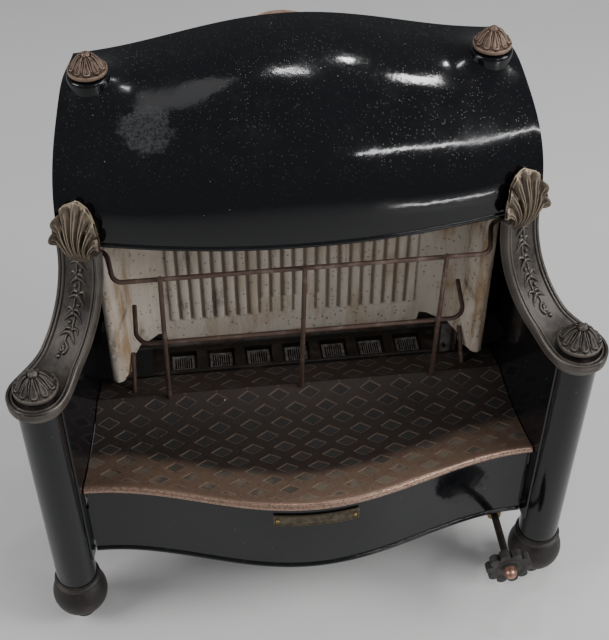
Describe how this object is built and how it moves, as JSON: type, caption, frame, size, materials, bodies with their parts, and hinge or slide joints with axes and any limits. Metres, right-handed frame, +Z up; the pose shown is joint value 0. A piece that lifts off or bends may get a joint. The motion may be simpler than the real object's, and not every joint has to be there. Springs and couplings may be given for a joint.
{
  "type": "gas radiant heater",
  "caption": "Free-standing radiant fire with an enamelled hood, cast arms and ball feet, a dished hearth, a reeded clay back, a wire guard that swings up and a tap.",
  "frame": {"origin": "on the floor under the middle of the heater's box", "axes": "the fire faces -Y, +X is to its right as seen from the front, +Z up"},
  "size_m": [0.636, 0.408, 0.6885],
  "materials": {
    "black_enamel": "glossy black vitreous enamel with dust and small chips",
    "back_sheet": "dull black stove paint",
    "tan_cap": "copper-tan wash on pressed steel",
    "dark_iron": "dark brown-black iron",
    "plain_steel": "dull oxidised steel",
    "arm_bronze": "dark bronze wash, worn lighter on the edges",
    "leaf_bronze": "antique bronze",
    "finial_bronze": "warm copper-tan bronze",
    "hearth_copper": "brown copper wash, worn lighter at the front",
    "guard_wire": "rusty brown wire",
    "fireclay": "cream fireclay with tan and soot stains",
    "old_brass": "tarnished",
    "grid_iron": "grey oxidised iron",
    "burner_iron": "burnt dark iron",
    "pipe_iron": "dark pipe iron",
    "handle_iron": "dark cast iron",
    "copper_nut": "worn copper"
  },
  "bodies": {
    "body": {"arm_leaf_left": "leaf_bronze", "arm_leaf_right": "leaf_bronze", "arm_left": "arm_bronze", "arm_right": "arm_bronze", "arm_rosette_left": "arm_bronze", "arm_rosette_right": "arm_bronze", "back_panel": "back_sheet", "back_panel_screws": "plain_steel", "burner_bolts": "plain_steel", "burner_box": "burner_iron", "burner_brackets": "plain_steel", "burner_grids": "grid_iron", "column_left": "black_enamel", "column_right": "black_enamel", "corner_angles": "plain_steel", "finial_studs": "plain_steel", "fireback": "fireclay", "fireback_pins": "guard_wire", "fireback_shelf": "plain_steel", "flue_box": "back_sheet", "flue_box_screws": "plain_steel", "flue_cap": "tan_cap", "flue_collar": "back_sheet", "front_foot_left": "dark_iron", "front_foot_right": "dark_iron", "front_skirt": "black_enamel", "gas_nozzle": "old_brass", "gas_pipe": "pipe_iron", "hearth_ledges": "plain_steel", "hearth_plate": "hearth_copper", "heat_baffle": "plain_steel", "hood": "black_enamel", "hood_brackets": "plain_steel", "hood_finial_left": "finial_bronze", "hood_finial_right": "finial_bronze", "inlet_nipple": "pipe_iron", "mixing_tube": "burner_iron", "nameplate": "old_brass", "nameplate_rivets": "old_brass", "rear_leg_left": "dark_iron", "rear_leg_right": "dark_iron", "side_panel_left": "black_enamel", "side_panel_right": "black_enamel", "tap_body": "old_brass", "tap_gland_nut": "old_brass", "tap_hanger": "plain_steel", "tie_rods": "plain_steel"},
    "guard": {"guard_low_rail": "guard_wire", "guard_top_rail": "guard_wire", "guard_upright_left": "guard_wire", "guard_upright_middle": "guard_wire", "guard_upright_right": "guard_wire"},
    "tap_key": {"tap_plug": "old_brass", "tap_stem": "pipe_iron", "tap_handle": "handle_iron", "tap_cap_nut": "copper_nut"},
    "shutter": {"air_shutter": "plain_steel"}
  },
  "joints": [
    {"name": "guard_swing", "type": "hinge", "parent": "body", "child": "guard", "pos_m": [0, -0.015, 0.494], "axis": [-1, 0, 0], "range_deg": [0, 65]},
    {"name": "tap_turn", "type": "hinge", "parent": "body", "child": "tap_key", "pos_m": [0.23, -0.186, 0.097], "axis": [0, -1, 0], "range_deg": [0, 90]},
    {"name": "shutter_turn", "type": "hinge", "parent": "body", "child": "shutter", "pos_m": [0.105, 0.036, 0.176], "axis": [1, 0, 0], "range_deg": [0, 45]}
  ]
}
